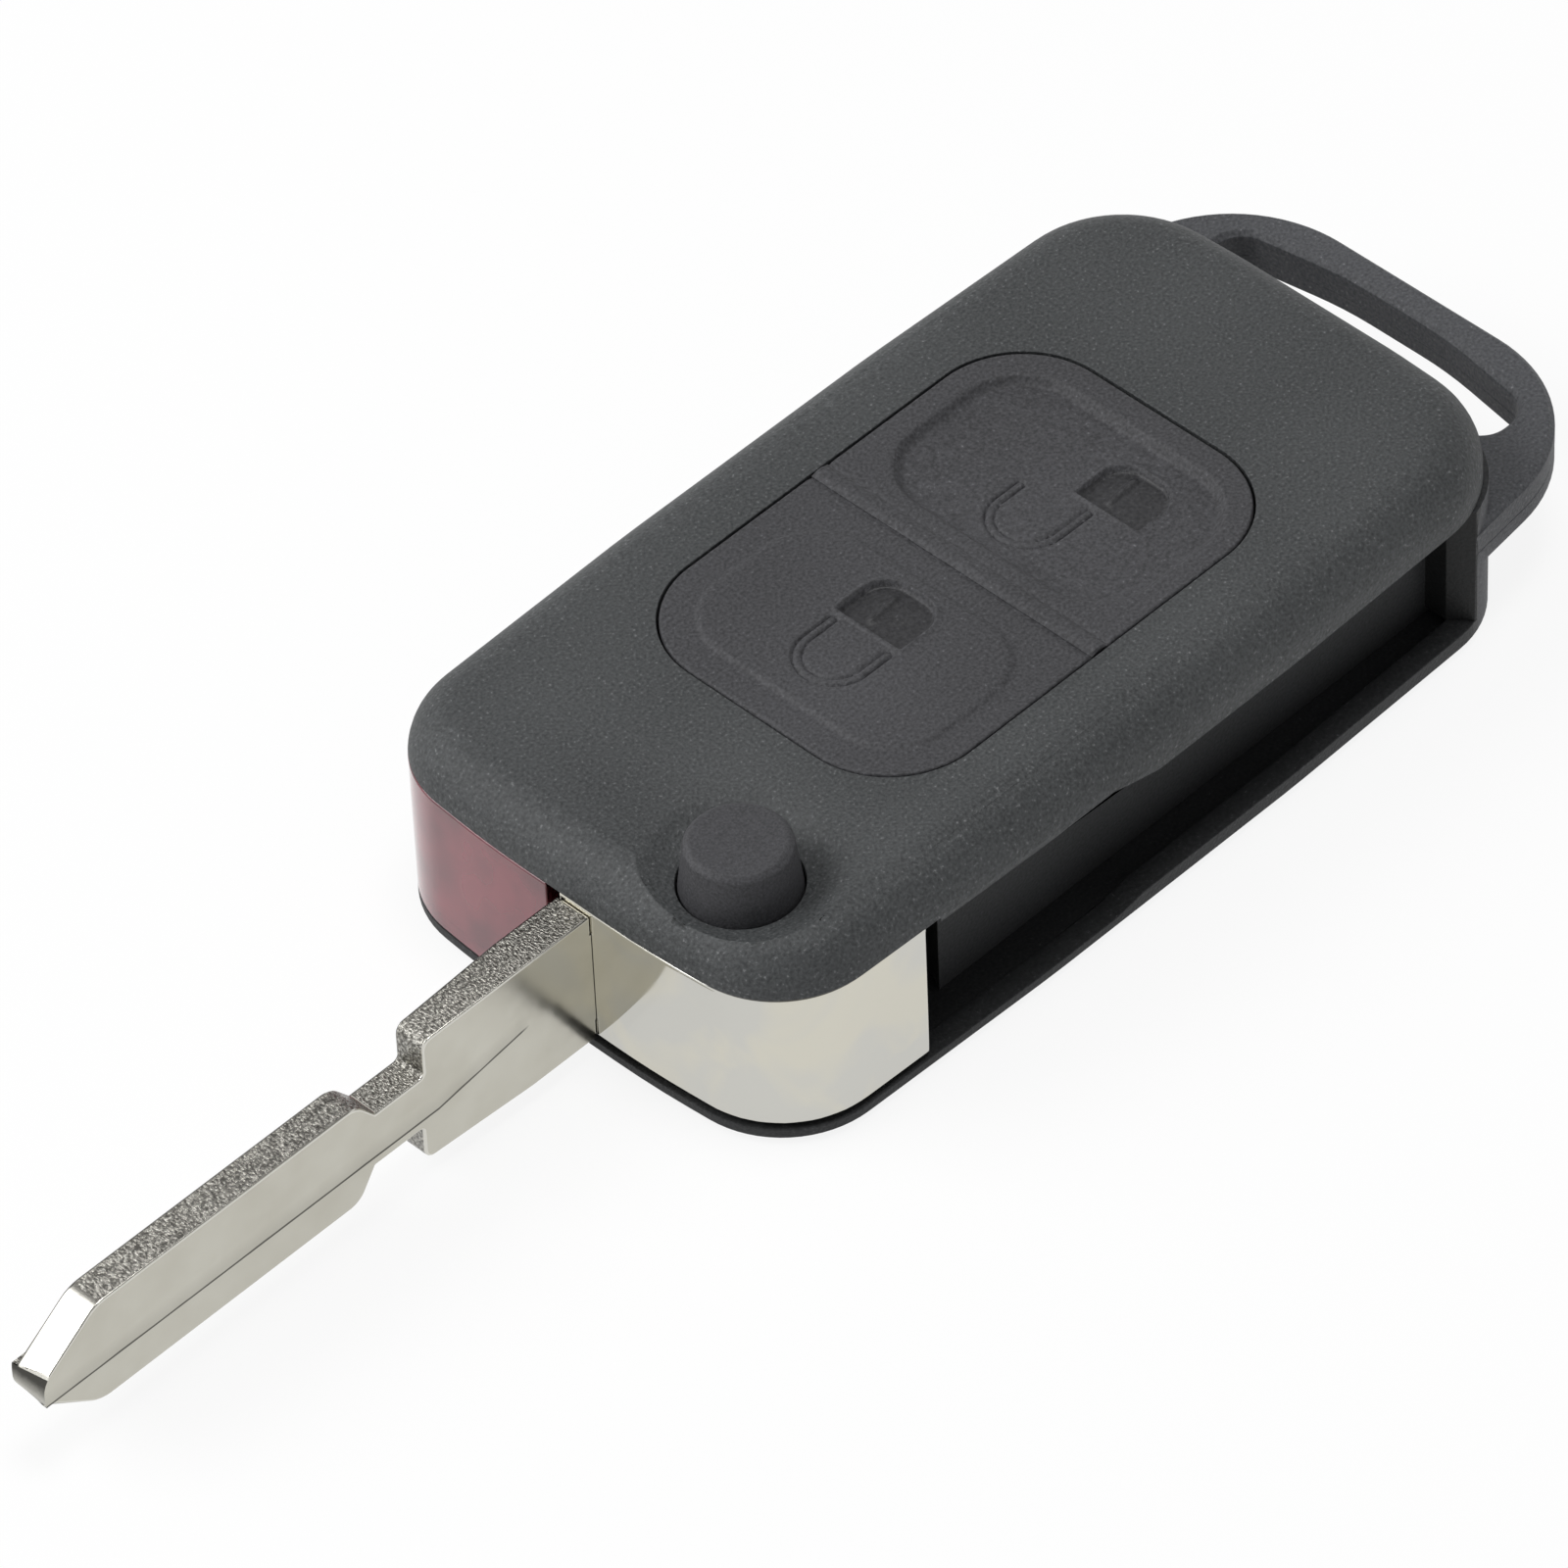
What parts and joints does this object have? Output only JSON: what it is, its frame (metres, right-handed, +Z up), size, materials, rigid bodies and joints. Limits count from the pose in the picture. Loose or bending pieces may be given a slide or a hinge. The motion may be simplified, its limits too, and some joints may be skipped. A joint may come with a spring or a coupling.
{
  "type": "flip key remote shell",
  "caption": "Flip key remote shell: moulded body with a rubber key pad, a sprung chrome head that folds a notched blade into a side channel, and a key-ring loop.",
  "frame": {"origin": "middle of the body's flat base, halfway between its blade end and its loop end", "axes": "+X from the blade's tip towards the key-ring loop, -Y towards the side with the blade channel, +Z up through the keys"},
  "size_m": [0.1115, 0.0336, 0.0165],
  "materials": {
    "shell_plastic": "fine matt moulded grain",
    "frame_plastic": "glossy moulded",
    "cover_plastic": "fine matt moulded grain",
    "window_plastic": "clear dark red, polished",
    "key_rubber": "matt silicone",
    "button_plastic": "matt moulded",
    "head_chrome": "polished plating on a zinc casting",
    "blade_nickel": "nickel plated, edges coarse",
    "spring_steel": "drawn wire",
    "pin_steel": "turned",
    "screw_steel": "zinc plated",
    "contact_brass": "stamped sheet"
  },
  "bodies": {
    "housing": {"upper_shell": "shell_plastic", "middle_frame": "frame_plastic", "lower_cover": "cover_plastic", "ir_lens": "window_plastic", "key_web": "key_rubber", "pivot_spindle": "pin_steel", "spring_washer": "pin_steel", "flip_spring": "spring_steel", "case_screws": "screw_steel", "battery_contact_plus": "contact_brass", "battery_contact_minus": "contact_brass"},
    "flip": {"flip_head": "head_chrome", "key_blade": "blade_nickel", "blade_pin": "pin_steel", "button_spring": "spring_steel"},
    "release": {"release_button": "button_plastic", "lock_cog": "pin_steel"},
    "lock": {"lock_key": "key_rubber"},
    "unlock": {"unlock_key": "key_rubber"}
  },
  "joints": [
    {"name": "blade_flip", "type": "hinge", "parent": "housing", "child": "flip", "pos_m": [-0.025, -0.0078, 0.006], "axis": [0, 0, 1], "range_deg": [0, 180], "stiffness_Nm_per_rad": 0.003, "springref_deg": -45.84, "deforming": ["flip_spring"]},
    {"name": "release_press", "type": "slide", "parent": "flip", "child": "release", "axis": [0, 0, -1], "range_m": [0, 0.0012], "stiffness_N_per_m": 800, "springref_m": -0.0025, "deforming": ["button_spring"]},
    {"name": "lock_press", "type": "slide", "parent": "housing", "child": "lock", "axis": [0, 0, -1], "range_m": [0, 0.0004], "stiffness_N_per_m": 3000, "springref_m": -0.0001},
    {"name": "unlock_press", "type": "slide", "parent": "housing", "child": "unlock", "axis": [0, 0, -1], "range_m": [0, 0.0004], "stiffness_N_per_m": 3000, "springref_m": -0.0001}
  ]
}
